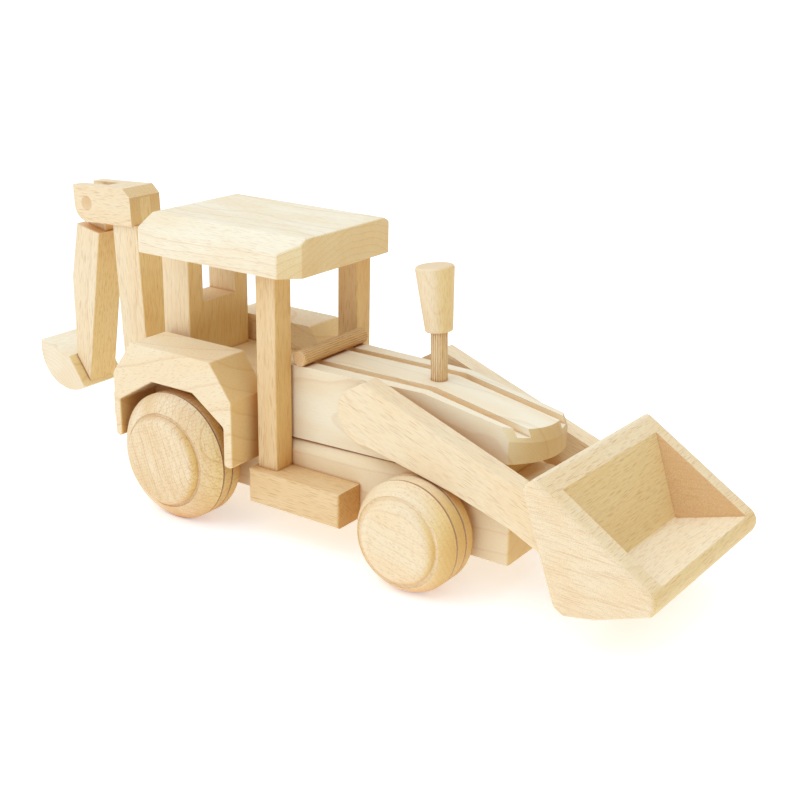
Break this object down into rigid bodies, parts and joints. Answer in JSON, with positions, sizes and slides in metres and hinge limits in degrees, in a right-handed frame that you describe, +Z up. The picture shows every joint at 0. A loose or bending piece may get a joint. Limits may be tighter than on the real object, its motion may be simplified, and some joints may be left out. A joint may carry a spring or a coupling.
{
  "type": "toy tractor",
  "caption": "Wooden toy backhoe loader: cab on pillars over a long hood, a front bucket on arms that lift, a jointed digger arm behind, and turned wheels that roll on axles.",
  "frame": {"origin": "on the floor, in the middle of the overall length and width", "axes": "+X forward towards the front bucket, +Y to the toy's left, +Z up"},
  "size_m": [0.4002, 0.12, 0.1544],
  "materials": {
    "beech_block": "sanded, unvarnished",
    "beech_dowel": "fluted or smooth dowel, unvarnished",
    "beech_turned": "turned and sanded, unvarnished"
  },
  "bodies": {
    "body": {"chassis_block": "beech_block", "hood_block": "beech_block", "rear_body_block": "beech_block", "cab_rear_frame": "beech_block", "roof": "beech_block", "dashboard_dowel": "beech_dowel", "exhaust_stem": "beech_dowel", "exhaust_cap": "beech_turned", "pillar_front_right": "beech_block", "pillar_front_left": "beech_block", "mudguard_right": "beech_block", "mudguard_left": "beech_block", "running_board_right": "beech_block", "running_board_left": "beech_block", "boom_bracket": "beech_block", "boom_pin": "beech_dowel", "bracket_dowels": "beech_dowel", "body_dowels": "beech_dowel", "cab_frame_dowels": "beech_dowel", "roof_dowels": "beech_dowel", "pillar_dowels": "beech_dowel", "running_board_dowels": "beech_dowel", "mudguard_dowels": "beech_dowel"},
    "front_axle_set": {"front_axle": "beech_dowel", "front_wheel_right": "beech_turned", "front_wheel_left": "beech_turned", "front_spacers": "beech_turned"},
    "rear_axle_set": {"rear_axle": "beech_dowel", "rear_wheel_right": "beech_turned", "rear_wheel_left": "beech_turned", "rear_spacers": "beech_turned"},
    "loader": {"loader_arm_right": "beech_block", "loader_arm_left": "beech_block", "loader_bucket": "beech_block", "loader_bucket_dowels": "beech_dowel", "loader_pivot_pin": "beech_dowel"},
    "boom_arm": {"boom": "beech_block", "knuckle_block": "beech_block", "dipper_pin": "beech_dowel"},
    "dipper_arm": {"dipper": "beech_block", "hoe_bucket": "beech_block", "hoe_bucket_dowels": "beech_dowel"}
  },
  "joints": [
    {"name": "front_axle_spin", "type": "hinge", "parent": "body", "child": "front_axle_set", "pos_m": [0.073, 0, 0.0266], "axis": [0, 1, 0], "continuous": true},
    {"name": "rear_axle_spin", "type": "hinge", "parent": "body", "child": "rear_axle_set", "pos_m": [-0.066, 0, 0.033], "axis": [0, 1, 0], "continuous": true},
    {"name": "loader_lift", "type": "hinge", "parent": "body", "child": "loader", "pos_m": [0.044, 0, 0.077], "axis": [0, -1, 0], "range_deg": [0, 60]},
    {"name": "boom_swing", "type": "hinge", "parent": "body", "child": "boom_arm", "pos_m": [-0.1295, 0, 0.038], "axis": [0, 1, 0], "range_deg": [-35, 12]},
    {"name": "dipper_swing", "type": "hinge", "parent": "boom_arm", "child": "dipper_arm", "pos_m": [-0.16026, 0, 0.14343], "axis": [0, 1, 0], "range_deg": [-12, 80]}
  ]
}
